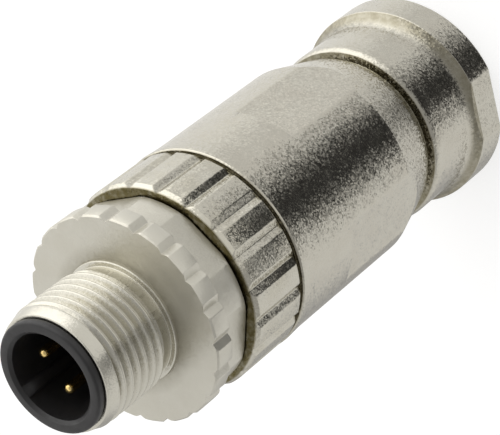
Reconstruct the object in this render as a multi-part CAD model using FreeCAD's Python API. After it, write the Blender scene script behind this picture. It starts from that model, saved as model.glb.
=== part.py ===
import FreeCAD, Part
import os
from math import sin, cos, pi, radians, sqrt
from FreeCAD import Vector

# ---------------------------------------------------------------------------
# Straight 4-pin M12 male cable connector, field-wireable, metal housing.
# Millimetres. +Z points at the mating end, the cable end stands on Z = 0.
# Stations are written as "s", the distance back from the mating end's front,
# so z = L - s. Angles are degrees from +X towards +Y.
# ---------------------------------------------------------------------------

# overall
L = 56.2                    # overall length

# contact insert (moulded plastic)
lip_r = 5.34                # lip that stands in front of the threaded nut
lip_len = 0.70
shroud_r = 4.95             # shroud inside the threaded nut
mouth_r = 4.14              # socket mouth
mouth_bevel = 0.30
socket_depth = 8.6
carrier_end = 17.5
key_w = 1.15                # coding key on the socket's wall
key_top_r = 3.55
key_start = 0.85
key_angle = 225.0

# contacts
pin_r = 0.5
pin_circle_r = 2.6
pin_tip = 2.25
barrel_r = 1.5
barrel_from, barrel_to = 26.0, 32.2
wire_hole_r = 0.9
wire_hole_from = 27.2
screw_s = 29.2              # station of the terminal screws
screw_r = 0.80
screw_hole_r = 0.85
screw_head_r = 1.2
screw_tip_at = 3.4
screw_head_at, screw_head_top = 4.3, 5.3

# coupling nut
nut_front = 0.78
thread_r = 6.0              # M12 x 1, major radius
thread_from, thread_to = 1.9, 8.35
relief_r = 5.45
hub_front, hub_r = 9.62, 5.96
flange_front = 10.0
rim_r = 10.08
rim_end = 12.05
rim_notch_r = 9.63          # bottom of the rim's V notches
rim_notch_half = 0.68
rim_notch_angle = 9.5
teeth = 20
hex_r, hex_h = 9.42, 8.92   # six-flat part behind the rim
hex_angle = 57.5
nut_rear = 15.48
nut_rear_bevel = 0.25
nut_bore_r = 5.0
nut_neck_bore_r = 7.25
nut_inner_step = 10.9

# front housing with the fluted grip ring
neck_r = 7.2
neck_front = 11.1
grip_front, grip_rear = 15.6, 22.08
grip_r = 10.18
grip_bevel_r = 9.86
flute_bottom_r = 9.79
flute_half = 0.66
flute_angle = 3.0
pilot_r, pilot_end = 9.15, 22.75
shank_r, shank_end = 8.80, 29.0
housing_bore_r = 7.45
ring_groove = (12.6, 13.4)  # retaining ring

# rear sleeve
sleeve_front = 22.45
bead_r, bead_end = 10.25, 22.9   # raised bead at the sleeve's front
body_r, body_from = 10.15, 24.6
body_end = 40.0
rim_rear = 45.15
rim_rear_r = 8.70
flat_h = 9.66               # half of the wrench size
flat_from = 30.3
flat_angle = 87.5
sleeve_pilot_r = 9.20
sleeve_thread_r = 8.85
chamber_r = 8.3
shield_seat_r = 7.1
sleeve_lip_r = 6.6
nut_thread_bore_r = 7.75

# cable clamp
clamp_shank_r = 7.70
clamp_shank_from = 39.9
collar_front = 45.98
collar_r = 8.98
neck2_r = 9.23
neck2_end = 51.2
head_front = 52.86
head_r = 10.15
head_flat_h = 9.67
head_flat_angle = 16.5
entry_r = 5.0

os.makedirs("parts", exist_ok=True)


def Z(s):
    return L - s


def turned(pts):
    """Revolve a closed outline about Z. Each entry is (r, s) for a straight
    edge, or (r_mid, s_mid, r, s) for an arc through a middle point."""
    edges = []
    start = Vector(pts[0][0], 0, Z(pts[0][1]))
    cur = start
    for p in pts[1:] + [pts[0][:2]]:
        end = Vector(p[-2], 0, Z(p[-1]))
        if len(p) == 4:
            mid = Vector(p[0], 0, Z(p[1]))
            edges.append(Part.Arc(cur, mid, end).toShape())
        else:
            if (end - cur).Length > 1e-7:
                edges.append(Part.LineSegment(cur, end).toShape())
        cur = end
    face = Part.Face(Part.Wire(edges))
    solid = face.revolve(Vector(0, 0, 0), Vector(0, 0, 1), 360)
    if solid.ShapeType != "Solid":
        solid = solid.Solids[0]
    if solid.Volume < 0:
        solid.reverse()
    return solid


def tube(r_out, r_in, s0, s1):
    return turned([(r_in, s0), (r_out, s0), (r_out, s1), (r_in, s1)])


def rod(r, s0, s1, x=0.0, y=0.0):
    return Part.makeCylinder(r, s1 - s0, Vector(x, y, Z(s1)), Vector(0, 0, 1))


def spun(shape, deg):
    s = shape.copy()
    s.rotate(Vector(0, 0, 0), Vector(0, 0, 1), deg)
    return s


def block(x0, x1, half_w, s0, s1, deg):
    b = Part.makeBox(x1 - x0, 2 * half_w, s1 - s0, Vector(x0, -half_w, Z(s1)))
    return spun(b, deg)


def vee(r_bottom, r_top, half_at, at_r, s0, s1, deg):
    """Triangular prism along Z whose point is at r_bottom and whose half
    width is half_at where the radius is at_r."""
    slope = half_at / (at_r - r_bottom)
    w = slope * (r_top - r_bottom)
    a = Vector(r_bottom, 0, Z(s1))
    b = Vector(r_top, -w, Z(s1))
    c = Vector(r_top, w, Z(s1))
    f = Part.Face(Part.makePolygon([a, b, c, a]))
    return spun(f.extrude(Vector(0, 0, s1 - s0)), deg)


def save(name, shape):
    shape = shape.removeSplitter() if shape.ShapeType != "Compound" else shape
    sol = shape.Solids
    assert len(sol) == 1, (name, len(sol))
    out = sol[0]
    assert out.isValid(), name
    assert out.Volume > 0, name
    out.exportStep("parts/" + name + ".step")
    bb = out.BoundBox
    print("%-20s vol %9.2f  z %6.2f..%6.2f  r %.2f" % (name, out.Volume, bb.ZMin, bb.ZMax, bb.XMax))
    return out


pin_angles = [0.0, 90.0, 180.0, 270.0]

# --- contact carrier: shroud with lip, socket, coding key -------------------
carrier = turned([
    (0, socket_depth), (mouth_r, socket_depth), (mouth_r, mouth_bevel),
    (mouth_r + mouth_bevel, 0), (lip_r - 0.15, 0), (lip_r - 0.04, 0.04, lip_r, 0.15),
    (lip_r, lip_len), (shroud_r, lip_len), (shroud_r, 13.6), (4.2, 13.6),
    (4.2, 14.6), (shroud_r, 14.6), (shroud_r, carrier_end), (0, carrier_end)])
key = block(key_top_r, mouth_r + 0.35, key_w / 2, key_start, socket_depth + 0.2, key_angle)
key = key.fuse(Part.makeCylinder(key_w / 2, socket_depth + 0.2 - key_start,
               Vector(key_top_r * cos(radians(key_angle)), key_top_r * sin(radians(key_angle)), Z(socket_depth + 0.2)),
               Vector(0, 0, 1)))
carrier = carrier.fuse(key)
for a in pin_angles:
    carrier = carrier.cut(rod(pin_r, socket_depth - 1, carrier_end + 1, pin_circle_r * cos(radians(a)), pin_circle_r * sin(radians(a))))
carrier = save("contact_carrier", carrier)

# --- terminal block: flanged body with four wells ---------------------------
tblock = turned([
    (0, carrier_end + 0.1), (7.0, carrier_end + 0.1), (7.4, carrier_end + 0.5), (7.4, 24.0), (6.0, 24.0), (6.0, 24.8),
    (5.4, 24.8), (5.4, 32.4), (5.2, 32.6), (0, 32.6)])
for a in pin_angles:
    x, y = pin_circle_r * cos(radians(a)), pin_circle_r * sin(radians(a))
    tblock = tblock.cut(rod(pin_r, 17, 27, x, y))
    tblock = tblock.cut(rod(barrel_r, barrel_from, 33, x, y))
    tblock = tblock.cut(spun(Part.makeCylinder(1.35, 4.0, Vector(pin_circle_r, 0, Z(screw_s)), Vector(1, 0, 0)), a))
tblock = save("terminal_block", tblock)

# --- contact pins with screw terminals --------------------------------------
for i, a in enumerate(pin_angles):
    pin = turned([(0, pin_tip), (0.30, pin_tip + 0.06, pin_r, pin_tip + 0.42), (pin_r, barrel_from),
                  (barrel_r, barrel_from), (barrel_r, barrel_to), (wire_hole_r, barrel_to),
                  (wire_hole_r, wire_hole_from), (0, wire_hole_from - 0.45)])
    pin.translate(Vector(pin_circle_r, 0, 0))
    pin = pin.cut(Part.makeCylinder(screw_hole_r, 3.0, Vector(pin_circle_r, 0, Z(screw_s)), Vector(1, 0, 0)))
    save("contact_pin_%d" % (i + 1), spun(pin, a))

# --- terminal screws: slotted cheese heads, pointing outwards ---------------
for i, a in enumerate(pin_angles):
    zc = Z(screw_s)
    sc = Part.makeCylinder(screw_r, screw_head_at - screw_tip_at + 0.1, Vector(screw_tip_at, 0, zc), Vector(1, 0, 0))
    sc = sc.fuse(Part.makeCylinder(screw_head_r, screw_head_top - screw_head_at, Vector(screw_head_at, 0, zc), Vector(1, 0, 0)))
    sc = sc.cut(Part.makeBox(0.6, 0.4, 4, Vector(screw_head_top - 0.5, -0.2, zc - 2)))
    save("terminal_screw_%d" % (i + 1), spun(sc, a))

# --- coupling nut: threaded barrel, toothed rim, six flats ------------------
nut = turned([
    (nut_bore_r, nut_front), (5.50, nut_front), (5.62, nut_front + 0.06), (5.90, thread_from), (thread_r, thread_from + 0.12),
    (thread_r, thread_to), (relief_r, thread_to + 0.3), (relief_r, hub_front), (hub_r - 0.12, hub_front), (hub_r, hub_front + 0.12),
    (hub_r, flange_front), (rim_r - 0.15, flange_front), (rim_r, flange_front + 0.15), (rim_r, rim_end - 0.08), (rim_r - 0.08, rim_end),
    (hex_r, rim_end), (hex_r, nut_rear - nut_rear_bevel), (hex_r - nut_rear_bevel, nut_rear), (nut_neck_bore_r, nut_rear),
    (nut_neck_bore_r, 13.5), (7.72, 13.5), (7.72, 12.5), (nut_neck_bore_r, 12.5),
    (nut_neck_bore_r, nut_inner_step), (nut_bore_r, nut_inner_step)])
for k in range(teeth):
    nut = nut.cut(vee(rim_notch_r, rim_r + 1, rim_notch_half, rim_r, flange_front - 0.5, rim_end, rim_notch_angle + 360.0 / teeth * k))
for k in range(6):
    nut = nut.cut(block(hex_h, hex_h + 3, 6, rim_end, nut_rear + 1, hex_angle + 60 * k))
nut = save("coupling_nut", nut)

# --- front housing: neck, fluted grip ring, threaded shank ------------------
housing = turned([
    (shroud_r, neck_front), (neck_r - 0.2, neck_front), (neck_r, neck_front + 0.2), (neck_r, ring_groove[0]), (6.5, ring_groove[0]),
    (6.5, ring_groove[1]), (neck_r, ring_groove[1]), (neck_r, grip_front), (grip_bevel_r, grip_front), (grip_r, grip_front + 0.45),
    (grip_r, grip_rear - 0.12), (grip_r - 0.12, grip_rear), (pilot_r, grip_rear), (pilot_r, pilot_end), (shank_r, pilot_end),
    (shank_r, 22.95), (7.98, 22.95), (7.98, 24.35), (shank_r, 24.35), (shank_r, shank_end - 0.3), (shank_r - 0.3, shank_end),
    (housing_bore_r, shank_end), (housing_bore_r, carrier_end), (shroud_r, carrier_end)])
for k in range(teeth):
    housing = housing.cut(vee(flute_bottom_r, grip_r + 1, flute_half, grip_r, grip_front - 0.5, grip_rear + 0.1, flute_angle + 360.0 / teeth * k))
housing = save("front_housing", housing)

# --- split retaining ring that holds the nut on the neck --------------------
snap = tube(7.62, 6.55, ring_groove[0] + 0.05, ring_groove[1] - 0.05)
snap = snap.cut(block(5, 9, 1.1, 12, 14, 200))
save("nut_retaining_ring", snap)

# --- o-rings -----------------------------------------------------------------
save("carrier_seal", Part.makeTorus(4.575, 0.37, Vector(0, 0, Z(14.1)), Vector(0, 0, 1)))
save("sleeve_o_ring", Part.makeTorus(8.57, 0.57, Vector(0, 0, Z(23.65)), Vector(0, 0, 1)))

# --- insulating sleeve round the terminals ----------------------------------
save("insulating_sleeve", turned([(6.02, 24.05), (7.0, 24.05), (7.0, 34.8), (6.8, 35.0), (6.02, 35.0)]))

# --- rear sleeve: body, four wrench flats, tapered shoulder -----------------
sleeve = turned([
    (sleeve_pilot_r + 0.15, sleeve_front), (bead_r - 0.15, sleeve_front), (bead_r, sleeve_front + 0.15), (bead_r, bead_end),
    (body_r, body_from), (body_r, body_end), (rim_rear_r, rim_rear), (rim_rear_r - 0.10, rim_rear + 0.05), (nut_thread_bore_r + 0.2, rim_rear + 0.05),
    (nut_thread_bore_r, rim_rear - 0.2), (nut_thread_bore_r, 39.3), (shield_seat_r, 39.3), (shield_seat_r, 36.2),
    (sleeve_lip_r, 36.2), (sleeve_lip_r, 35.8), (chamber_r, 35.8), (chamber_r, 29.3), (sleeve_thread_r, 29.3),
    (sleeve_thread_r, 24.6), (sleeve_pilot_r, 24.6), (sleeve_pilot_r, sleeve_front + 0.15)])
for k in range(4):
    sleeve = sleeve.cut(block(flat_h, flat_h + 3, 6, flat_from, rim_rear + 1, flat_angle + 90 * k))
sleeve = save("rear_sleeve", sleeve)

# --- shield ring -------------------------------------------------------------
save("shield_ring", turned([(5.6, 36.3), (7.0, 36.3), (7.02, 36.35), (7.02, 39.0), (4.6, 39.0), (4.6, 37.4)]))

# --- cable seal with inner ribs ---------------------------------------------
seal_prof = [(3.9, 40.6), (5.15, 40.6), (5.2, 40.7), (5.2, 46.4), (4.7, 47.0), (3.9, 47.0)]
s = 46.6
while s > 41.2:
    seal_prof += [(3.9, s), (3.7, s - 0.3), (3.7, s - 0.6), (3.9, s - 0.9)]
    s -= 1.35
save("cable_seal", turned(seal_prof))

# --- clamp cage: ring with twelve fingers round the seal --------------------
cage = turned([
    (5.25, 40.0), (6.3, 40.0), (6.3, 46.3), (5.65, 47.6), (5.25, 47.6)])
for k in range(6):
    cage = cage.cut(block(-8, 8, 0.3, 42.0, 48, 30 * k + 15))
save("clamp_cage", cage)

# --- clamp nut: shank, collar, neck, flared head with two flats -------------
cn = turned([
    (6.42, clamp_shank_from), (clamp_shank_r - 0.3, clamp_shank_from), (clamp_shank_r, clamp_shank_from + 0.3), (clamp_shank_r, collar_front),
    (collar_r, collar_front), (neck2_r - 0.04, collar_front + 0.42), (neck2_r, collar_front + 0.6), (neck2_r, neck2_end),
    (9.462, 52.13, head_r - 0.05, head_front - 0.02), (head_r, head_front + 0.03), (head_r, L - 0.2), (head_r - 0.2, L), (entry_r + 0.6, L),
    (entry_r + 0.18, L - 0.18, entry_r, L - 0.6), (entry_r, 49.4), (6.42, 46.9)])
for k in range(2):
    cn = cn.cut(block(head_flat_h, head_flat_h + 3, 6, collar_front + 1, L + 1, head_flat_angle + 180 * k))
cn = save("clamp_nut", cn)
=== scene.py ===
import bpy
import bmesh
import math
from math import sin, cos, tan, acos, atan2, sqrt, pi, radians, degrees
from mathutils import Vector, Matrix


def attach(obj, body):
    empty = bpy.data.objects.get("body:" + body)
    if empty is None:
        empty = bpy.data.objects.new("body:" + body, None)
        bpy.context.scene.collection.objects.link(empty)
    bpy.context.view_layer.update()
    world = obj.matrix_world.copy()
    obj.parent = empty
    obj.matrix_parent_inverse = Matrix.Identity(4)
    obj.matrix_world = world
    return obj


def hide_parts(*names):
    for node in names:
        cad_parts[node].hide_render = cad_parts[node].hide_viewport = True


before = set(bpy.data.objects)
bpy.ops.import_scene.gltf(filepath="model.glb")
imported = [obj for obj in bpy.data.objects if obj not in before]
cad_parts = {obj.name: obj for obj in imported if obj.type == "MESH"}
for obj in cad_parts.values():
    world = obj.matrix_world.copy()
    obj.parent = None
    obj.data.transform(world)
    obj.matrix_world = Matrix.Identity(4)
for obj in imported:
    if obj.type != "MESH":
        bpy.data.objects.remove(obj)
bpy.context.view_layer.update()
scene = bpy.context.scene
MM = 0.001
L = 56.2            # overall length, mm. Stations s run back from the mating end, z = L - s


# ---------------------------------------------------------------------------
# camera: the photograph's viewing angle, given by the direction of the
# connector's axis seen from the camera and the place of its front centre
# ---------------------------------------------------------------------------
IMG_W, IMG_H = 500.0, 435.0
theta, phi = radians(47.386), radians(38.123)
u0, v0, depth0, focal = 48.392, 379.204, 200.489, 2429.459

ax_d = Vector((sin(theta) * cos(phi), -sin(theta) * sin(phi), cos(theta)))
tilt = atan2(sin(theta) * sin(phi), cos(theta))
ax_1 = Vector((0, -cos(tilt), -sin(tilt)))
ax_2 = ax_d.cross(ax_1)
front = Vector(((u0 - IMG_W / 2) / focal * depth0, (v0 - IMG_H / 2) / focal * depth0, depth0))


def to_world(w):
    return Vector((w.dot(ax_2), w.dot(ax_1), -w.dot(ax_d)))


cam_data = bpy.data.cameras.new("camera")
cam_data.sensor_fit = "HORIZONTAL"
cam_data.sensor_width = 36.0
cam_data.lens = 36.0 * focal / IMG_W
cam_data.clip_start = 0.01
cam_data.clip_end = 10.0
cam = bpy.data.objects.new("camera", cam_data)
scene.collection.objects.link(cam)
cx, cy, cz = to_world(Vector((1, 0, 0))), to_world(Vector((0, -1, 0))), to_world(Vector((0, 0, -1)))
eye = to_world(-front) + Vector((0, 0, L))
rot = Matrix((cx, cy, cz)).transposed().to_4x4()
cam.matrix_world = Matrix.Translation(eye * MM) @ rot
scene.camera = cam


# ---------------------------------------------------------------------------
# small geometry kit
# ---------------------------------------------------------------------------
def fillet(points, seg=3):
    """A closed outline of (r, s[, radius]) with its corners rounded."""
    out = []
    n = len(points)
    for i, p in enumerate(points):
        rad = p[2] if len(p) > 2 else 0.0
        P = Vector((p[0], p[1]))
        if rad <= 0:
            out.append((p[0], p[1]))
            continue
        A = Vector(points[i - 1][:2]) - P
        B = Vector(points[(i + 1) % n][:2]) - P
        la, lb = A.length, B.length
        A.normalize()
        B.normalize()
        ang = acos(max(-1, min(1, A.dot(B))))
        t = rad / tan(ang / 2)
        t = min(t, 0.48 * la, 0.48 * lb)
        rad = t * tan(ang / 2)
        C = P + (A + B).normalized() * (rad / sin(ang / 2))
        a0 = P + A * t - C
        b0 = P + B * t - C
        w0 = atan2(a0.y, a0.x)
        w1 = atan2(b0.y, b0.x)
        dw = (w1 - w0 + pi) % (2 * pi) - pi
        for k in range(seg + 1):
            w = w0 + dw * k / seg
            out.append((C.x + rad * cos(w), C.y + rad * sin(w)))
    return out


def subdivide(points, longest, closed=True, keep=None):
    """Extra points on long straight stretches, where keep(r, s) is true for both ends."""
    out = []
    n = len(points)
    for i in range(n if closed else n - 1):
        a, b = points[i], points[(i + 1) % n]
        out.append(a)
        if keep is not None and not (keep(*a) and keep(*b)):
            continue
        d = sqrt((a[0] - b[0]) ** 2 + (a[1] - b[1]) ** 2)
        m = int(math.ceil(d / longest))
        for k in range(1, m):
            f = k / m
            out.append((a[0] + (b[0] - a[0]) * f, a[1] + (b[1] - a[1]) * f))
    if not closed:
        out.append(points[-1])
    return out


def columns(marks, widest):
    """Angles round the axis: every mark, and more between them so that no gap is wider than widest."""
    m = sorted(set(round(a % 360.0, 4) for a in marks))
    if not m:
        m = [0.0]
    out = []
    for i, a in enumerate(m):
        b = m[(i + 1) % len(m)] + (360.0 if i == len(m) - 1 else 0.0)
        k = max(1, int(math.ceil((b - a) / widest - 1e-6)))
        for j in range(k):
            out.append(a + (b - a) * j / k)
    return out


def place(r, s, deg):
    w = radians(deg)
    return (r * cos(w) * MM, r * sin(w) * MM, (L - s) * MM)


def lathe_grid(verts, faces, rows, closed):
    """Adds a grid of rows of points round the axis to the lists."""
    n = len(rows[0])
    base = len(verts)
    for row in rows:
        verts.extend(row)
    m = len(rows)
    for i in range(m if closed else m - 1):
        a = base + i * n
        b = base + ((i + 1) % m) * n
        for j in range(n):
            k = (j + 1) % n
            faces.append((a + j, a + k, b + k, b + j))


def painted_groove_shade(r, s):
    """How much painted shade a place (r, s) gets: an olive-tinted darkening painted into the grooves and recesses
    between the pieces, the thread roots, beside the hub and on the start of the clamp nut's flare, standing in for the
    shadow and interreflection there.
    """
    out = 0.0
    if 15.25 < s < 16.0:
        out = 1.0 - step(r + (s - 15.6) * 0.6, 9.84, 10.02)
        if s < 15.5:
            out = 0.5 * step(s, 15.30, 15.46)
    elif 21.9 < s < 22.62:
        out = 0.55 * (1.0 - step(r, 10.08, 10.24))
    elif 45.05 < s < 46.6:
        out = 0.75 * (1.0 - step(r, 8.92, 9.06)) if s > 45.6 else 0.75 * (1.0 - step(r, 8.62, 8.72))
    elif 51.5 < s < 53.0:
        out = 0.62 * step(s, 51.5, 52.5) * (1.0 - step(r, 10.09, 10.14))
    elif 1.9 < s < 8.9 and 5.3 < r < 6.1:
        out = 0.34 * (1.0 - step(r, 5.50, 5.86))
    elif 9.4 < s < 10.02 and r > 5.9:
        out = 0.35 * (1.0 - step(r, 5.98, 6.5))
    return out


def build(name, verts, faces, mat, body, node=None, slot=None, weighted=True, sharp=None):
    mesh = bpy.data.meshes.new(name)
    mesh.from_pydata(verts, [], faces)
    bm = bmesh.new()
    bm.from_mesh(mesh)
    bmesh.ops.remove_doubles(bm, verts=bm.verts, dist=4e-7)
    bmesh.ops.dissolve_degenerate(bm, edges=bm.edges, dist=2e-7)
    loose = [v for v in bm.verts if not v.link_faces]
    if loose:
        bmesh.ops.delete(bm, geom=loose, context="VERTS")
    bmesh.ops.recalc_face_normals(bm, faces=bm.faces)
    for f in bm.faces:
        f.smooth = True
    open_edges = sum(1 for e in bm.edges if len(e.link_faces) != 2)
    vol = bm.calc_volume(signed=True)
    if vol < 0:
        bmesh.ops.reverse_faces(bm, faces=bm.faces)
    bm.to_mesh(mesh)
    bm.free()
    mesh.update()
    if slot and "nickel" in slot:
        # the groove attribute holds the painted shade: how strongly each vertex is darkened towards olive where grooves
        # and recesses lie in shadow
        shade = mesh.attributes.new("groove", "FLOAT", "POINT")
        for i, v in enumerate(mesh.vertices):
            shade.data[i].value = painted_groove_shade(sqrt(v.co.x ** 2 + v.co.y ** 2) / MM, L - v.co.z / MM)
        shade = mesh.attributes.new("barrel", "FLOAT", "POINT")
        for i, v in enumerate(mesh.vertices):
            shade.data[i].value = 1.0 if v.co.z > (L - 9.7) * MM and v.co.x ** 2 + v.co.y ** 2 < (6.1 * MM) ** 2 else 0.0
    if sharp is not None:
        mesh.set_sharp_from_angle(angle=radians(sharp))
    obj = bpy.data.objects.new(name, mesh)
    scene.collection.objects.link(obj)
    obj.data.materials.append(mat)
    if weighted:
        mod = obj.modifiers.new("normals", "WEIGHTED_NORMAL")
        mod.mode = "FACE_AREA"
        mod.weight = 60
        mod.keep_sharp = True
    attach(obj, body)
    if node:
        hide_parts(node)
    print("piece %-18s verts %6d faces %6d open edges %d volume %.1f mm3" % (name, len(mesh.vertices), len(mesh.polygons), open_edges, abs(vol) * 1e9))
    return obj


def vee_depth(w, half, depth, b, c):
    """Depth of a V groove at arc distance w from its centre, with a rounded bottom and rounded shoulders."""
    a = abs(w)
    k = depth / half
    if a < b:
        return depth - k * (a * a / (2 * b) + b / 2)
    if a < half - c:
        return depth - k * a
    if a < half + c:
        return k * (half + c - a) ** 2 / (4 * c)
    return 0.0


def smin(a, b, k):
    h = max(k - abs(a - b), 0.0)
    return min(a, b) - h * h / (4 * k)


def wrap(a):
    return (a + 180.0) % 360.0 - 180.0


def step(x, lo, hi):
    t = min(1.0, max(0.0, (x - lo) / (hi - lo)))
    return t * t * (3 - 2 * t)


# ---------------------------------------------------------------------------
# materials, all procedural
# ---------------------------------------------------------------------------
def node_mat(name):
    m = bpy.data.materials.new(name)
    m.use_nodes = True
    nt = m.node_tree
    bsdf = nt.nodes["Principled BSDF"]
    coord = nt.nodes.new("ShaderNodeTexCoord")
    return m, nt, bsdf, coord


def add_noise(nt, coord, scale, detail=2.0, rough=0.5, distortion=0.0, stretch=None, spin=None):
    src = coord.outputs["Object"]
    if stretch or spin:
        mp = nt.nodes.new("ShaderNodeMapping")
        if stretch:
            mp.inputs["Scale"].default_value = stretch
        if spin:
            mp.inputs["Rotation"].default_value = spin
        nt.links.new(src, mp.inputs["Vector"])
        src = mp.outputs["Vector"]
    n = nt.nodes.new("ShaderNodeTexNoise")
    n.inputs["Scale"].default_value = scale
    n.inputs["Detail"].default_value = detail
    n.inputs["Roughness"].default_value = rough
    n.inputs["Distortion"].default_value = distortion
    nt.links.new(src, n.inputs["Vector"])
    return n


def remap(nt, value, lo, hi, out_lo, out_hi):
    r = nt.nodes.new("ShaderNodeMapRange")
    r.inputs["From Min"].default_value = lo
    r.inputs["From Max"].default_value = hi
    r.inputs["To Min"].default_value = out_lo
    r.inputs["To Max"].default_value = out_hi
    nt.links.new(value, r.inputs["Value"])
    return r.outputs["Result"]


def mix_colour(nt, fac, a, b):
    m = nt.nodes.new("ShaderNodeMix")
    m.data_type = "RGBA"
    if isinstance(fac, float):
        m.inputs["Factor"].default_value = fac
    else:
        nt.links.new(fac, m.inputs["Factor"])
    for sock, c in ((m.inputs[6], a), (m.inputs[7], b)):
        if isinstance(c, tuple):
            sock.default_value = (c[0], c[1], c[2], 1.0)
        else:
            nt.links.new(c, sock)
    return m.outputs[2]


def bump_chain(nt, bsdf, layers):
    """layers: (height socket, distance in metres, strength)."""
    prev = None
    for height, dist, strength in layers:
        b = nt.nodes.new("ShaderNodeBump")
        b.inputs["Distance"].default_value = dist
        b.inputs["Strength"].default_value = strength
        nt.links.new(height, b.inputs["Height"])
        if prev is not None:
            nt.links.new(prev, b.inputs["Normal"])
        prev = b.outputs["Normal"]
    nt.links.new(prev, bsdf.inputs["Normal"])
    return prev


def facets(nt, coord, bsdf, normal, scale, tilt):
    """Tiny facets that each lean their own way, as blasting and plating leave them."""
    cell = nt.nodes.new("ShaderNodeTexVoronoi")
    cell.inputs["Scale"].default_value = scale
    nt.links.new(coord.outputs["Object"], cell.inputs["Vector"])
    lean = nt.nodes.new("ShaderNodeVectorMath")
    lean.operation = "MULTIPLY_ADD"
    nt.links.new(cell.outputs["Color"], lean.inputs[0])
    lean.inputs[1].default_value = (tilt, tilt, tilt)
    lean.inputs[2].default_value = (-tilt / 2, -tilt / 2, -tilt / 2)
    total = nt.nodes.new("ShaderNodeVectorMath")
    total.operation = "ADD"
    nt.links.new(normal, total.inputs[0])
    nt.links.new(lean.outputs[0], total.inputs[1])
    unit = nt.nodes.new("ShaderNodeVectorMath")
    unit.operation = "NORMALIZE"
    nt.links.new(total.outputs[0], unit.inputs[0])
    nt.links.new(unit.outputs[0], bsdf.inputs["Normal"])


def nickel(name, light, warm, rough, grain, grain_depth, grain_strength, facet, tilt, metallic=1.0, polish=0.0):
    m, nt, bsdf, coord = node_mat(name)
    bsdf.inputs["Metallic"].default_value = metallic
    patches = add_noise(nt, coord, 420.0, 3.0, 0.55)
    tone = remap(nt, patches.outputs["Fac"], 0.35, 0.65, 0.0, 1.0)
    clean = mix_colour(nt, tone, light, warm)
    # painted shade: the groove attribute mixes the base colour towards a dark olive (0.15, 0.128, 0.060) where grooves
    # and recesses lie in shadow; the noise only breaks it up
    groove = nt.nodes.new("ShaderNodeAttribute")
    groove.attribute_name = "groove"
    shade_mottle = add_noise(nt, coord, 1500.0, 3.0, 0.6)
    fac = nt.nodes.new("ShaderNodeMath")
    fac.operation = "MULTIPLY"
    fac.use_clamp = True
    nt.links.new(groove.outputs["Fac"], fac.inputs[0])
    nt.links.new(remap(nt, shade_mottle.outputs["Fac"], 0.30, 0.60, 0.70, 1.05), fac.inputs[1])
    nt.links.new(mix_colour(nt, fac.outputs[0], clean, (0.15, 0.128, 0.060)), bsdf.inputs["Base Color"])
    smear = add_noise(nt, coord, 900.0, 2.0, 0.5)
    gloss = remap(nt, smear.outputs["Fac"], 0.3, 0.7, rough - 0.03, rough + 0.04)
    if polish:
        # the threaded barrel is shinier than the rest of its piece
        barrel = nt.nodes.new("ShaderNodeAttribute")
        barrel.attribute_name = "barrel"
        nt.links.new(remap(nt, barrel.outputs["Fac"], 0.0, 1.0, metallic, 1.0), bsdf.inputs["Metallic"])
        less = nt.nodes.new("ShaderNodeMath")
        less.operation = "SUBTRACT"
        nt.links.new(gloss, less.inputs[0])
        nt.links.new(remap(nt, barrel.outputs["Fac"], 0.0, 1.0, 0.0, polish), less.inputs[1])
        gloss = less.outputs[0]
    nt.links.new(gloss, bsdf.inputs["Roughness"])
    g = add_noise(nt, coord, grain, 2.0, 0.55)
    layers = [(g.outputs["Fac"], grain_depth, grain_strength)]
    facets(nt, coord, bsdf, bump_chain(nt, bsdf, layers), facet, tilt)
    return m


def moulded(name, colour, lighter, rough, grain=5200.0, strength=0.25, spec=0.5):
    m, nt, bsdf, coord = node_mat(name)
    bsdf.inputs["Specular IOR Level"].default_value = spec
    a = add_noise(nt, coord, 700.0, 4.0, 0.6)
    fac = remap(nt, a.outputs["Fac"], 0.42, 0.72, 0.0, 1.0)
    nt.links.new(mix_colour(nt, fac, colour, lighter), bsdf.inputs["Base Color"])
    b = add_noise(nt, coord, 1500.0, 3.0, 0.6)
    nt.links.new(remap(nt, b.outputs["Fac"], 0.3, 0.7, rough - 0.07, rough + 0.09), bsdf.inputs["Roughness"])
    g = add_noise(nt, coord, grain, 3.0, 0.6)
    s = add_noise(nt, coord, 1300.0, 2.0, 0.5)
    bump_chain(nt, bsdf, [(s.outputs["Fac"], 0.00003, 0.3), (g.outputs["Fac"], 0.00001, strength)])
    return m


def metal_plain(name, a_col, b_col, rough, grain, strength, stretch=None):
    m, nt, bsdf, coord = node_mat(name)
    bsdf.inputs["Metallic"].default_value = 1.0
    a = add_noise(nt, coord, 900.0, 3.0, 0.5)
    nt.links.new(mix_colour(nt, remap(nt, a.outputs["Fac"], 0.35, 0.65, 0.0, 1.0), a_col, b_col), bsdf.inputs["Base Color"])
    b = add_noise(nt, coord, grain, 2.0, 0.5, stretch=stretch)
    nt.links.new(remap(nt, b.outputs["Fac"], 0.3, 0.7, rough - 0.05, rough + 0.08), bsdf.inputs["Roughness"])
    bump_chain(nt, bsdf, [(b.outputs["Fac"], 0.000006, strength)])
    return m


NICKEL_SMOOTH = nickel("nickel_smooth", (0.64, 0.622, 0.55), (0.62, 0.60, 0.525), 0.38, 6500.0, 0.000010, 0.5, 9000.0, 0.11, 0.80, 0.14)
NICKEL_BLAST = nickel("nickel_blasted", (0.60, 0.58, 0.505), (0.58, 0.555, 0.48), 0.225, 8200.0, 0.000012, 0.7, 6900.0, 0.235)
NICKEL_CAST = nickel("nickel_cast", (0.61, 0.59, 0.515), (0.58, 0.555, 0.47), 0.24, 7000.0, 0.000016, 0.8, 8200.0, 0.24)
GOLD = metal_plain("gold_plated", (0.95, 0.72, 0.30), (0.90, 0.66, 0.26), 0.18, 3000.0, 0.2)
STEEL = metal_plain("zinc_steel", (0.62, 0.62, 0.63), (0.55, 0.55, 0.55), 0.30, 4000.0, 0.3)
SPRING = metal_plain("spring_steel", (0.42, 0.42, 0.43), (0.35, 0.35, 0.35), 0.35, 4000.0, 0.3)
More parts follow.
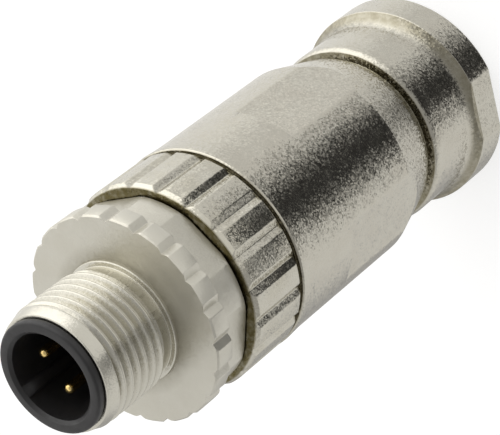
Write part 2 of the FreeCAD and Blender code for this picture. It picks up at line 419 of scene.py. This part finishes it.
BLACK = moulded("black_polyamide", (0.014, 0.0135, 0.014), (0.020, 0.019, 0.020), 0.42)
GREY = moulded("grey_polyamide", (0.25, 0.25, 0.26), (0.31, 0.31, 0.32), 0.5)
RUBBER = moulded("seal_rubber", (0.035, 0.035, 0.035), (0.055, 0.055, 0.055), 0.7, spec=0.3)

for node, mat in (("terminal_block", BLACK), ("carrier_seal", RUBBER), ("sleeve_o_ring", RUBBER), ("cable_seal", RUBBER),
                  ("insulating_sleeve", GREY), ("clamp_cage", GREY), ("nut_retaining_ring", SPRING), ("shield_ring", NICKEL_SMOOTH),
                  ("terminal_screw_1", STEEL), ("terminal_screw_2", STEEL), ("terminal_screw_3", STEEL), ("terminal_screw_4", STEEL)):
    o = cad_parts[node]
    o.data.materials.clear()
    o.data.materials.append(mat)


# ---------------------------------------------------------------------------
# coupling nut: M12 x 1 thread, relief, hub, rim with 20 V notches, six flats
# ---------------------------------------------------------------------------
def coupling_nut():
    rim_r, notch_depth, notch_half = 10.08, 0.45, 0.68
    hex_r, hex_h = 9.42, 8.92
    pitch, r_major, r_minor = 1.0, 6.0, 5.45
    s_a, s_b = 1.75, 8.60
    notch_at = [9.5 + 18.0 * k for k in range(20)]
    hex_at = [57.5 + 60.0 * k for k in range(6)]
    marks = []
    for c in notch_at:
        for w in (0, 0.03, 0.06, 0.28, 0.50, 0.60, 0.64, 0.68, 0.72, 0.76):
            d = degrees(w / rim_r)
            marks += [c - d, c + d]
    e = degrees(acos(hex_h / hex_r))
    for c in hex_at:
        for w in (e - 0.9, e - 0.35, e, e + 0.35, e + 0.9):
            marks += [c - w, c + w]
    cols = columns(marks, 1.6)

    def notch(deg):
        d = 0.0
        for c in notch_at:
            a = wrap(deg - c)
            if abs(a) < 8:
                d = max(d, vee_depth(radians(a) * rim_r, notch_half, notch_depth, 0.06, 0.04))
        return d

    def flat(deg):
        for c in hex_at:
            a = wrap(deg - c)
            if abs(a) <= 30.0:
                return smin(hex_r, hex_h / cos(radians(a)), 0.02)
        return hex_r

    notch_of = [notch(c) for c in cols]
    flat_of = [flat(c) for c in cols]

    def row(r, s):
        out = []
        for j, c in enumerate(cols):
            rr = r
            if 9.95 < s < 12.06 and r > 9.5:
                rr = min(r, rim_r - notch_of[j])
            elif s > 12.0 and r > 8.9:
                rr = min(r, flat_of[j])
            out.append(place(rr, s, c))
        return out

    # from the thread's end, over the outside to the rear, through the bore and back to the thread's start
    lead_at = 5.62 + 0.28 * (s_a - 0.84) / 1.06
    outline = fillet([
        (5.45, s_b), (5.45, 9.60, 0.05), (5.96, 9.60, 0.14), (5.96, 10.0), (7.4, 10.0), (9.0, 10.0), (9.58, 10.0),
        (rim_r - 0.15, 10.0), (rim_r - 0.01, 10.14), (rim_r, 10.17), (rim_r, 10.9), (rim_r, 11.95), (rim_r - 0.02, 11.99), (rim_r - 0.08, 12.05), (9.58, 12.05),
        (hex_r, 12.05), (hex_r, 12.15), (hex_r, 13.2), (hex_r, 14.3), (hex_r, 15.20), (hex_r - 0.03, 15.26), (hex_r - 0.13, 15.36), (hex_r - 0.23, 15.46), (hex_r - 0.27, 15.48),
        (8.6, 15.48), (7.25, 15.48, 0.10), (7.25, 13.5), (7.72, 13.5), (7.72, 12.5), (7.25, 12.5), (7.25, 10.9),
        (5.0, 10.9), (5.0, 0.78, 0.06), (5.50, 0.78, 0.03), (5.62, 0.84, 0.03), (lead_at, s_a)])
    rows = [row(*p) for p in outline]
    verts, faces = [], []
    lathe_grid(verts, faces, rows, False)

    # thread: rows follow the helix, and stations outside s_a..s_b are drawn in to the end rings
    crest, root = 0.14, 0.20
    slope = (1.0 - crest - root) / 2
    prof = []   # (fraction of pitch, depth 0..1)
    for f, d in ((0.0, 0.0), (crest * 0.34, 0.0), (crest * 0.5, 0.03), (crest * 0.5 + 0.035, 0.13),
                 (crest * 0.5 + slope * 0.5, 0.53), (crest * 0.5 + slope - 0.03, 0.93), (crest * 0.5 + slope + 0.02, 0.99), (0.5, 1.0)):
        prof.append((f, d))
    prof += [(1.0 - f, d) for f, d in reversed(prof[1:-1])]
    m = len(prof)
    turns = int((s_b - s_a) / pitch) + 4
    n = len(cols)
    phase = THREAD_PHASE

    def thread_r(s, d):
        lead = 5.62 + 0.28 * (s - 0.84) / 1.06 if s < 1.9 else 5.90 + min(0.10, s - 1.9)
        run_out = 6.0 - max(0.0, (s - 8.12) * 1.15)
        top = min(lead, r_major, max(r_minor, run_out))
        fade = step(s, 1.82, 2.45)
        return max(min(top, r_major - d * (r_major - r_minor)), r_minor) if fade >= 1 else top - fade * max(0.0, top - max(r_minor, r_major - d * (r_major - r_minor)))

    base = len(verts)
    kmax = turns * m
    for k in range(kmax + 1):
        q = k // m
        f, d = prof[k % m]
        for j, c in enumerate(cols):
            s = s_a - 2.0 + phase + pitch * (q + f) - pitch * c / 360.0
            s = min(s_b, max(s_a, s))
            if s <= s_a:
                r = lead_at
            elif s >= s_b:
                r = 5.45
            else:
                r = thread_r(s, d)
            verts.append(place(r, s, c))
    for k in range(kmax):
        for j in range(n):
            a, b = k, k + 1
            if j + 1 < n:
                faces.append((base + a * n + j, base + a * n + j + 1, base + b * n + j + 1, base + b * n + j))
            else:
                # past the seam the helix has moved forward one turn, so it is m rows back
                a2, b2 = max(a - m, 0), max(b - m, 0)
                faces.append((base + a * n + j, base + a2 * n, base + b2 * n, base + b * n + j))
    # rows missing at the seam's start are all drawn in to the front ring, so nothing is left open there
    return build("coupling_nut_mesh", verts, faces, NICKEL_SMOOTH, "coupling_nut", "coupling_nut", "smooth_nickel", sharp=38)


THREAD_PHASE = 0.0
coupling_nut()


# ---------------------------------------------------------------------------
# front housing: neck, fluted grip ring and shank, the shank drawn plain without its thread
# ---------------------------------------------------------------------------
def front_housing():
    grip_r, depth, half = 10.18, 0.39, 0.66
    flute_at = [3.0 + 18.0 * k for k in range(20)]
    marks = []
    for c in flute_at:
        for w in (0, 0.04, 0.08, 0.30, 0.54, 0.61, 0.66, 0.71, 0.76):
            d = degrees(w / grip_r)
            marks += [c - d, c + d]
    cols = columns(marks, 2.2)

    def flute(deg):
        d = 0.0
        for c in flute_at:
            a = wrap(deg - c)
            if abs(a) < 8:
                d = max(d, vee_depth(radians(a) * grip_r, half, depth, 0.08, 0.05))
        return d

    cut = [flute(c) for c in cols]

    def row(r, s):
        out = []
        for j, c in enumerate(cols):
            rr = min(r, grip_r - cut[j]) if 15.5 < s < 22.1 and r > 9.77 else r
            out.append(place(rr, s, c))
        return out

    outline = fillet([
        (4.95, 17.5), (4.95, 11.1), (7.0, 11.1), (7.2, 11.3), (7.2, 12.6), (6.5, 12.6), (6.5, 13.4), (7.2, 13.4), (7.2, 15.6), (8.4, 15.6), (9.2, 15.6), (9.74, 15.6),
        (9.84, 15.6), (9.88, 15.63), (9.96, 15.75), (10.06, 15.89), (10.15, 16.02), (grip_r, 16.09), (grip_r, 17.6), (grip_r, 19.2), (grip_r, 20.6),
        (grip_r, 21.88), (10.165, 21.95), (10.10, 22.05), (10.04, 22.08), (9.76, 22.08), (9.70, 22.12), (9.70, 22.38), (9.64, 22.42), (9.15, 22.42), (9.15, 22.75), (8.8, 22.75), (8.8, 22.95),
        (7.98, 22.95), (7.98, 24.35), (8.8, 24.35), (8.8, 28.7), (8.5, 29.0), (7.45, 29.0), (7.45, 17.5)])
    rows = [row(*p) for p in outline]
    verts, faces = [], []
    lathe_grid(verts, faces, rows, True)
    return build("front_housing_mesh", verts, faces, NICKEL_CAST, "front_body", "front_housing", "blasted_nickel", sharp=40)


front_housing()


# ---------------------------------------------------------------------------
# rear sleeve: four wrench flats and the tapered shoulder. The columns follow
# the flats' edges, which run in to a point on the shoulder
# ---------------------------------------------------------------------------
def flat_columns(r, h, at, widest=2.6, least=2.6):
    """Angles for one row: the flats' edges at this radius are always on a column."""
    e = degrees(acos(h / r)) if r > h else 0.0
    e = max(e, least)
    inner = [-1, -0.96, -0.90, -0.80, -0.6, -0.4, -0.2, 0, 0.2, 0.4, 0.6, 0.8, 0.9, 0.96]
    outer = [0, 0.03, 0.08, 0.16] + [0.16 + 0.68 * k / 24 for k in range(1, 24)] + [0.84, 0.92, 0.97]
    out = []
    span = 90.0
    for c in at:
        for t in inner:
            out.append(c + t * e)
        for t in outer:
            out.append(c + e + t * (span - 2 * e))
    return out


def rear_sleeve():
    body_r, h = 10.15, 9.66
    at = [87.5 + 90.0 * k for k in range(4)]
    # straight cone from (10.15, 40.0) to (8.70, 45.15); its rows are close together where the flats run out on it
    run = (45.15 - 40.0) / (body_r - 8.70)
    crest = [h / cos(radians(e)) for e in (17.2, 16.2, 15.2, 14.2, 13.2, 12.2, 11.2, 10.2, 9.2, 8.2, 7.2, 6.2, 5.2, 4.2, 3.2, 2.6)]
    cone = [(r, 40.0 + (body_r - r) * run) for r in crest + [9.62, 9.52, 9.40, 9.25, 9.10, 8.95, 8.82, 8.74]]
    body = [(body_r, 30.20), (body_r, 30.27), (body_r, 30.33), (body_r, 30.40)]
    outline = fillet([(9.20, 24.6), (9.20, 22.65), (9.35, 22.45, 0.04), (10.11, 22.45, 0.05), (10.25, 22.60, 0.06)])
    outline += [(10.25, 22.75), (10.248, 22.88), (10.235, 23.05), (10.215, 23.4), (10.20, 23.8), (10.18, 24.15), (10.158, 24.5), (10.15, 24.8), (10.15, 25.2), (10.15, 26.0)]
    outline += [(body_r, 26.0 + (30.20 - 26.0) * k / 4) for k in range(1, 4)]
    outline += body
    outline += [(body_r, 30.40 + (39.90 - 30.40) * k / 10) for k in range(1, 10)]
    outline += [(body_r, 39.90), (body_r, 39.97), (body_r - 0.003, 40.02), (body_r - 0.012, 40.0 + 0.012 * run)]
    outline += cone
    outline += [(8.70, 45.13), (8.685, 45.165), (8.65, 45.19), (8.60, 45.20), (8.3, 45.20), (7.95, 45.20)]
    outline += [(7.75, 45.0), (7.75, 39.3), (7.1, 39.3), (7.1, 36.2), (6.6, 36.2), (6.6, 35.8), (8.3, 35.8), (8.3, 29.3), (8.85, 29.3), (8.85, 24.6)]
    rows = []
    for r, s in outline:
        outside = r > 8.55 and not (r < 9.21 and s < 24.7) and not (s > 24 and r <= 8.86 and s < 40)
        cols = flat_columns(r if outside and s > 26 else body_r, h, at)
        out = []
        for c in cols:
            rr = r
            if outside and s > 30.15:
                d = min(abs(wrap(c - a)) for a in at)
                g = 0.0 if s < 30.25 else (1.0 if s > 30.30 else 0.5)
                if d < 40 and g > 0:
                    cutr = smin(r, h / cos(radians(d)), 0.012)
                    rr = r + (cutr - r) * g
            out.append(place(rr, s, c))
        rows.append(out)
    verts, faces = [], []
    lathe_grid(verts, faces, rows, True)
    return build("rear_sleeve_mesh", verts, faces, NICKEL_BLAST, "rear_sleeve", "rear_sleeve", "blasted_nickel", sharp=50)


rear_sleeve()


# ---------------------------------------------------------------------------
# clamp nut: collar, neck, concave flare and head with two flats
# ---------------------------------------------------------------------------
def clamp_nut():
    h = 9.67
    at = [16.5 + 90.0 * k for k in range(4)]
    cut_at = (16.5, 196.5)
    head_r = 10.15
    # concave flare, an arc of 1.98 mm that starts level with the neck
    flare = [(11.21 - 1.98 * cos(radians(55.9 * k / 24)), 51.2 + 1.98 * sin(radians(55.9 * k / 24))) for k in range(25)]
    outline = [(6.42, 39.9), (7.4, 39.9), (7.7, 40.2), (7.7, 45.28), (8.12, 45.28), (8.16, 45.32), (8.16, 45.92), (8.22, 45.98), (8.93, 45.98), (8.98, 46.00), (9.03, 46.06), (9.11, 46.20), (9.18, 46.36), (9.215, 46.48), (9.23, 46.62)]
    outline += [(9.23, 46.62 + (51.2 - 46.62) * k / 7) for k in range(1, 7)]
    outline += flare
    outline += [(10.125, 52.865), (10.145, 52.91), (head_r, 52.96)]
    outline += [(head_r, 53.04 + (55.9 - 53.04) * k / 6) for k in range(0, 7)]
    outline += fillet([(head_r, 55.9), (head_r, 56.2, 0.18), (5.6, 56.2, 0.30), (5.0, 55.6, 0.25), (5.0, 54.0)], 4)[1:-1]
    outline += [(5.0, 49.4), (6.42, 46.9)]
    rows = []
    for r, s in outline:
        outside = r > 8.0 and s > 46 and s < 56.19
        cols = flat_columns(r if outside else head_r, h, at)
        out = []
        for c in cols:
            rr = r
            d = min(abs(wrap(c - a)) for a in cut_at)
            if s > 47 and r > 9.4 and d < 40:
                rr = smin(r, h / cos(radians(d)), 0.012)
                if s > 55.95:
                    rr = r - (head_r - smin(head_r, h / cos(radians(d)), 0.012)) * step(r, 9.0, 9.9)
            out.append(place(rr, s, c))
        rows.append(out)
    verts, faces = [], []
    lathe_grid(verts, faces, rows, True)
    return build("clamp_nut_mesh", verts, faces, NICKEL_BLAST, "clamp_nut", "clamp_nut", "blasted_nickel", sharp=55)


clamp_nut()


# ---------------------------------------------------------------------------
# contact carrier with its lip, socket and coding key
# ---------------------------------------------------------------------------
def contact_carrier():
    key_at, key_half, key_top = 225.0, 0.575, 3.55
    cols = []
    marks = []
    for c in (key_at,):
        for w in (0, 0.15, 0.3, 0.42, 0.5, 0.55, 0.575, 0.60, 0.66, 0.8):
            d = degrees(w / 4.1)
            marks += [c - d, c + d]
    cols = columns(marks, 3.0)

    def key(deg, r):
        a = radians(wrap(deg - key_at)) * 4.1
        w = abs(a)
        if w >= 0.66:
            return r
        # rounded top of the key
        if w < 0.575:
            t = key_top - 0.0 + (0.575 - sqrt(max(0.0, 0.575 ** 2 - w * w))) * 0.55
            t = min(t, 4.05)
        else:
            t = 4.05 + (r - 4.05) * (w - 0.575) / 0.085
        return min(r, t)

    outline = fillet([
        (0.0, 8.6), (4.14, 8.6, 0.15), (4.14, 0.30, 0.05), (4.44, 0.0, 0.04), (5.34, 0.0, 0.28), (5.34, 0.70, 0.04), (4.95, 0.70),
        (4.95, 13.6), (4.2, 13.6), (4.2, 14.6), (4.95, 14.6), (4.95, 17.5), (0.0, 17.5)], 4)
    pts = subdivide(outline, 0.6, closed=False, keep=lambda r, s: r < 4.3 and s < 8.7)
    rows = []
    for r, s in pts:
        out = []
        for c in cols:
            rr = r
            if 0.02 < s < 8.7 and r > 3.0 and r < 4.5:
                g = step(s, 0.80, 0.95)
                if g > 0 and s < 8.55:
                    rr = r + (key(c, r) - r) * g
                elif s >= 8.55 and r > 3.4:
                    rr = min(r, key(c, 4.14))
            out.append(place(rr, s, c))
        rows.append(out)
    verts, faces = [], []
    lathe_grid(verts, faces, rows, False)
    return build("contact_carrier_mesh", verts, faces, BLACK, "front_body", "contact_carrier", "black_polyamide")


contact_carrier()


# ---------------------------------------------------------------------------
# contact pins: the pins from model.glb get the gold material
# ---------------------------------------------------------------------------
for i, a in enumerate((0.0, 90.0, 180.0, 270.0)):
    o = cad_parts["contact_pin_%d" % (i + 1)]
    o.data.materials.clear()
    o.data.materials.append(GOLD)


# ---------------------------------------------------------------------------
# floor, light and surroundings
# ---------------------------------------------------------------------------
def stage_floor():
    mesh = bpy.data.meshes.new("floor")
    bm = bmesh.new()
    bmesh.ops.create_grid(bm, x_segments=8, y_segments=8, size=3.0)
    bm.to_mesh(mesh)
    bm.free()
    o = bpy.data.objects.new("floor", mesh)
    scene.collection.objects.link(o)
    o.location = (0, 0, -0.00002)
    m = bpy.data.materials.new("floor_paint")
    m.use_nodes = True
    b = m.node_tree.nodes["Principled BSDF"]
    b.inputs["Base Color"].default_value = (0.50, 0.50, 0.50, 1)
    b.inputs["Roughness"].default_value = 0.9
    b.inputs["Specular IOR Level"].default_value = 0.1
    b.inputs["Emission Color"].default_value = (1.0, 1.0, 1.0, 1)
    b.inputs["Emission Strength"].default_value = 0.66
    mesh.materials.append(m)
    o.visible_glossy = False     # what the metal mirrors below the horizon is the studio's own ramp
    return o


def reflector(start, end, radius, low, high):
    """A curved studio card beside the front end. Only reflections see it, and it fades out at its edges."""
    verts, faces, tone = [], [], []
    n, m = 36, 60
    for i in range(n + 1):
        f = i / n
        w = radians(start + (end - start) * f)
        for k in range(m + 1):
            g = k / m
            verts.append((radius * MM * cos(w), radius * MM * sin(w), (low + (high - low) * g) * MM))
            # weaker where the rim looks
            dip = 1.0 - 0.5 * (1.0 - step(abs(low + (high - low) * g - 37.8), 0.6, 2.4))
            tone.append(step(min(f, 1 - f), 0.0, 0.22) * step(g, 0.0, 0.06) * step(1 - g, 0.0, 0.15) * dip)
    for i in range(n):
        for k in range(m):
            a = i * (m + 1) + k
            faces.append((a, a + 1, a + m + 2, a + m + 1))
    mesh = bpy.data.meshes.new("reflector")
    mesh.from_pydata(verts, [], faces)
    fade = mesh.attributes.new("fade", "FLOAT", "POINT")
    for i, v in enumerate(tone):
        fade.data[i].value = v
    o = bpy.data.objects.new("reflector", mesh)
    scene.collection.objects.link(o)
    m_ = bpy.data.materials.new("reflector")
    m_.use_nodes = True
    nt = m_.node_tree
    nt.nodes.clear()
    out = nt.nodes.new("ShaderNodeOutputMaterial")
    glow = nt.nodes.new("ShaderNodeEmission")
    glow.inputs["Color"].default_value = (0.84, 0.83, 0.81, 1)
    clear = nt.nodes.new("ShaderNodeBsdfTransparent")
    mix = nt.nodes.new("ShaderNodeMixShader")
    at = nt.nodes.new("ShaderNodeAttribute")
    at.attribute_name = "fade"
    nt.links.new(at.outputs["Fac"], mix.inputs[0])
    nt.links.new(clear.outputs[0], mix.inputs[1])
    nt.links.new(glow.outputs[0], mix.inputs[2])
    nt.links.new(mix.outputs[0], out.inputs[0])
    mesh.materials.append(m_)
    o.visible_camera = False
    o.visible_diffuse = False
    o.visible_shadow = False
    o.visible_transmission = False


stage_floor()
# azimuths from 49 degrees on, where the camera stands
reflector(49.0 - 28.0, 49.0 + 42.0, 18.0, 32.2, 62.0)

# the studio: soft panels and one dark side, as a function of direction. turn is the azimuth
# counted from 49 degrees, up is the height above the horizon, both in degrees
world = bpy.data.worlds.new("studio")
scene.world = world
world.use_nodes = True
wn = world.node_tree
bg = wn.nodes["Background"]


def w_math(op, *args):
    n = wn.nodes.new("ShaderNodeMath")
    n.operation = op
    for i, a in enumerate(args):
        if isinstance(a, (int, float)):
            n.inputs[i].default_value = float(a)
        else:
            wn.links.new(a, n.inputs[i])
    return n.outputs[0]


def w_step(value, lo, hi, out_lo=0.0, out_hi=1.0):
    """Smooth step from out_lo at lo to out_hi at hi; lo may be above hi."""
    n = wn.nodes.new("ShaderNodeMapRange")
    n.interpolation_type = "SMOOTHSTEP"
    if lo > hi:
        lo, hi, out_lo, out_hi = hi, lo, out_hi, out_lo
    for sock, v in (("From Min", lo), ("From Max", hi), ("To Min", out_lo), ("To Max", out_hi)):
        n.inputs[sock].default_value = v
    wn.links.new(value, n.inputs["Value"])
    return n.outputs["Result"]


def w_mix(fac, a, b):
    """a where fac is 0, b where it is 1."""
    return w_math("ADD", w_math("MULTIPLY", w_math("SUBTRACT", 1.0, fac), a), w_math("MULTIPLY", fac, b))


def w_lobe(turn, up, at_turn, at_up, wide_turn, wide_up):
    """1 at the middle of a soft round panel and 0 outside it."""
    a = w_math("DIVIDE", w_math("SUBTRACT", turn, at_turn), wide_turn)
    b = w_math("DIVIDE", w_math("SUBTRACT", up, at_up), wide_up)
    d = w_math("SQRT", w_math("ADD", w_math("MULTIPLY", a, a), w_math("MULTIPLY", b, b)))
    return w_step(d, 1.0, 0.35)


tc = wn.nodes.new("ShaderNodeTexCoord")
xyz = wn.nodes.new("ShaderNodeSeparateXYZ")
wn.links.new(tc.outputs["Generated"], xyz.inputs[0])
ca, sa_ = cos(radians(49.0)), sin(radians(49.0))
along = w_math("ADD", w_math("MULTIPLY", xyz.outputs[0], ca), w_math("MULTIPLY", xyz.outputs[1], sa_))
across = w_math("ADD", w_math("MULTIPLY", xyz.outputs[0], -sa_), w_math("MULTIPLY", xyz.outputs[1], ca))
turn = w_math("MULTIPLY", w_math("ARCTAN2", across, along), 57.29578)
up = w_math("MULTIPLY", w_math("ARCSINE", xyz.outputs[2]), 57.29578)

# below the horizon: light on one side, falling off towards the dark side, light again past it
left_side = w_step(turn, 66.0, 112.0, 0.72, 1.0)
left_side = w_math("ADD", left_side, w_math("MULTIPLY", w_step(turn, 64.0, 42.0), 0.22))
right_side = w_step(turn, -100.0, -150.0, 0.84, 0.42)
right_side = w_mix(w_step(turn, -158.0, -179.0), right_side, 1.0)
below = w_mix(w_step(turn, -10.0, -30.0), left_side, right_side)
window = w_math("MULTIPLY", w_step(turn, 54.0, -1.0), w_step(turn, -66.0, -24.0))
window = w_math("MULTIPLY", window, w_step(up, -96.0, -62.0))
below = w_mix(window, below, 0.029)
# above it: a strong soft panel, the flat panel the end faces mirror, and a dim front side
above = w_step(turn, 20.0, 75.0, 0.40, 1.0)
above = w_mix(w_step(turn, -60.0, -120.0), above, 0.80)
level = w_mix(w_step(up, -14.0, 4.0), below, above)
level = w_mix(w_lobe(turn, up, 86.0, 12.0, 66.0, 60.0), level, 1.9)
tint = wn.nodes.new("ShaderNodeCombineXYZ")
wn.links.new(level, tint.inputs[0])
wn.links.new(w_math("MULTIPLY", level, 0.99), tint.inputs[1])
wn.links.new(w_math("MULTIPLY", level, 0.975), tint.inputs[2])
wn.links.new(tint.outputs[0], bg.inputs["Color"])
bg.inputs["Strength"].default_value = 1.0

scene.view_settings.view_transform = "Standard"
